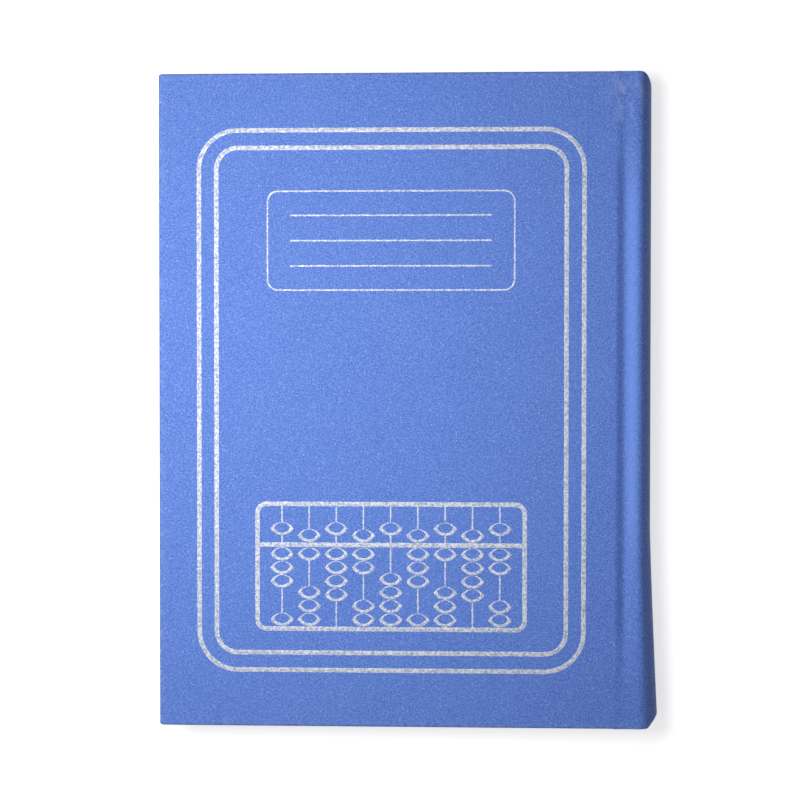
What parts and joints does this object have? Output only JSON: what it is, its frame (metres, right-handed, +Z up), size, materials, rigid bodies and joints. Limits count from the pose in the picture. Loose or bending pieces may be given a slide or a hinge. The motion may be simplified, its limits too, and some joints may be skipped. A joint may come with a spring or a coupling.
{
  "type": "accounting ledger",
  "caption": "Hard-cover cloth-bound accounting ledger with rounded spine, sewn sections, hinged covers and turning leaves.",
  "frame": {"origin": "under the middle of the closed ledger, on the face that it lies on", "axes": "+X towards the spine, +Y towards the head, +Z up out of the front cover"},
  "size_m": [0.1664, 0.2208, 0.0168],
  "materials": {
    "cover_cloth": "matt embossed book cloth",
    "greyboard": "matt grey board",
    "endpaper": "smooth heavy paper",
    "ruled_paper": "uncoated ruled paper",
    "silver_foil": "hot stamped silver foil",
    "lining_paper": "kraft paper",
    "gauze": "open starched gauze",
    "thread": "waxed cotton",
    "band": "woven cotton"
  },
  "bodies": {
    "text_block": {"section_1": "ruled_paper", "section_2": "ruled_paper", "section_3": "ruled_paper", "section_4": "ruled_paper", "section_5": "ruled_paper", "section_6": "ruled_paper", "section_7": "ruled_paper", "sewing_thread": "thread", "mull": "gauze", "spine_lining": "lining_paper", "spine_strip": "greyboard", "spine_cloth": "cover_cloth", "head_band": "band", "tail_band": "band", "front_guard": "ruled_paper", "back_guard": "ruled_paper"},
    "front_cover": {"front_board": "greyboard", "front_cover_cloth": "cover_cloth", "front_pastedown": "endpaper", "foil_frame": "silver_foil", "foil_label": "silver_foil", "foil_abacus": "silver_foil"},
    "back_cover": {"back_board": "greyboard", "back_cover_cloth": "cover_cloth", "back_pastedown": "endpaper"},
    "front_flyleaf": {"front_flyleaf": "endpaper"},
    "back_flyleaf": {"back_flyleaf": "endpaper"},
    "ledger_leaf_1": {"ledger_leaf_1": "ruled_paper"},
    "ledger_leaf_2": {"ledger_leaf_2": "ruled_paper"},
    "ledger_leaf_3": {"ledger_leaf_3": "ruled_paper"},
    "ledger_leaf_4": {"ledger_leaf_4": "ruled_paper"},
    "ledger_leaf_5": {"ledger_leaf_5": "ruled_paper"},
    "ledger_leaf_6": {"ledger_leaf_6": "ruled_paper"},
    "ledger_leaf_7": {"ledger_leaf_7": "ruled_paper"},
    "ledger_leaf_8": {"ledger_leaf_8": "ruled_paper"}
  },
  "joints": [
    {"name": "front_cover_hinge", "type": "hinge", "parent": "text_block", "child": "front_cover", "pos_m": [0.0792, 0, 0.01676], "axis": [0, 1, 0], "range_deg": [0, 180]},
    {"name": "back_cover_hinge", "type": "hinge", "parent": "text_block", "child": "back_cover", "pos_m": [0.0792, 0, 0], "axis": [0, -1, 0], "range_deg": [0, 180]},
    {"name": "front_flyleaf_hinge", "type": "hinge", "parent": "text_block", "child": "front_flyleaf", "pos_m": [0.0732, 0, 0.01386], "axis": [0, 1, 0], "range_deg": [0, 150]},
    {"name": "back_flyleaf_hinge", "type": "hinge", "parent": "text_block", "child": "back_flyleaf", "pos_m": [0.0732, 0, 0.0029], "axis": [0, -1, 0], "range_deg": [0, 150]},
    {"name": "ledger_leaf_1_hinge", "type": "hinge", "parent": "text_block", "child": "ledger_leaf_1", "pos_m": [0.0732, 0, 0.01286], "axis": [0, 1, 0], "range_deg": [0, 30]},
    {"name": "ledger_leaf_2_hinge", "type": "hinge", "parent": "text_block", "child": "ledger_leaf_2", "pos_m": [0.0732, 0, 0.01298], "axis": [0, 1, 0], "range_deg": [0, 45]},
    {"name": "ledger_leaf_3_hinge", "type": "hinge", "parent": "text_block", "child": "ledger_leaf_3", "pos_m": [0.0732, 0, 0.0131], "axis": [0, 1, 0], "range_deg": [0, 60]},
    {"name": "ledger_leaf_4_hinge", "type": "hinge", "parent": "text_block", "child": "ledger_leaf_4", "pos_m": [0.0732, 0, 0.01322], "axis": [0, 1, 0], "range_deg": [0, 75]},
    {"name": "ledger_leaf_5_hinge", "type": "hinge", "parent": "text_block", "child": "ledger_leaf_5", "pos_m": [0.0732, 0, 0.01334], "axis": [0, 1, 0], "range_deg": [0, 90]},
    {"name": "ledger_leaf_6_hinge", "type": "hinge", "parent": "text_block", "child": "ledger_leaf_6", "pos_m": [0.0732, 0, 0.01346], "axis": [0, 1, 0], "range_deg": [0, 105]},
    {"name": "ledger_leaf_7_hinge", "type": "hinge", "parent": "text_block", "child": "ledger_leaf_7", "pos_m": [0.0732, 0, 0.01358], "axis": [0, 1, 0], "range_deg": [0, 120]},
    {"name": "ledger_leaf_8_hinge", "type": "hinge", "parent": "text_block", "child": "ledger_leaf_8", "pos_m": [0.0732, 0, 0.0137], "axis": [0, 1, 0], "range_deg": [0, 135]}
  ],
  "couplings": [
    {"joint": "front_flyleaf_hinge", "follows": "front_cover_hinge", "ratio": 0.83333},
    {"joint": "back_flyleaf_hinge", "follows": "back_cover_hinge", "ratio": 0.83333},
    {"joint": "ledger_leaf_1_hinge", "follows": "front_cover_hinge", "ratio": 0.16667},
    {"joint": "ledger_leaf_2_hinge", "follows": "front_cover_hinge", "ratio": 0.25},
    {"joint": "ledger_leaf_3_hinge", "follows": "front_cover_hinge", "ratio": 0.33333},
    {"joint": "ledger_leaf_4_hinge", "follows": "front_cover_hinge", "ratio": 0.41667},
    {"joint": "ledger_leaf_5_hinge", "follows": "front_cover_hinge", "ratio": 0.5},
    {"joint": "ledger_leaf_6_hinge", "follows": "front_cover_hinge", "ratio": 0.58333},
    {"joint": "ledger_leaf_7_hinge", "follows": "front_cover_hinge", "ratio": 0.66667},
    {"joint": "ledger_leaf_8_hinge", "follows": "front_cover_hinge", "ratio": 0.75}
  ]
}
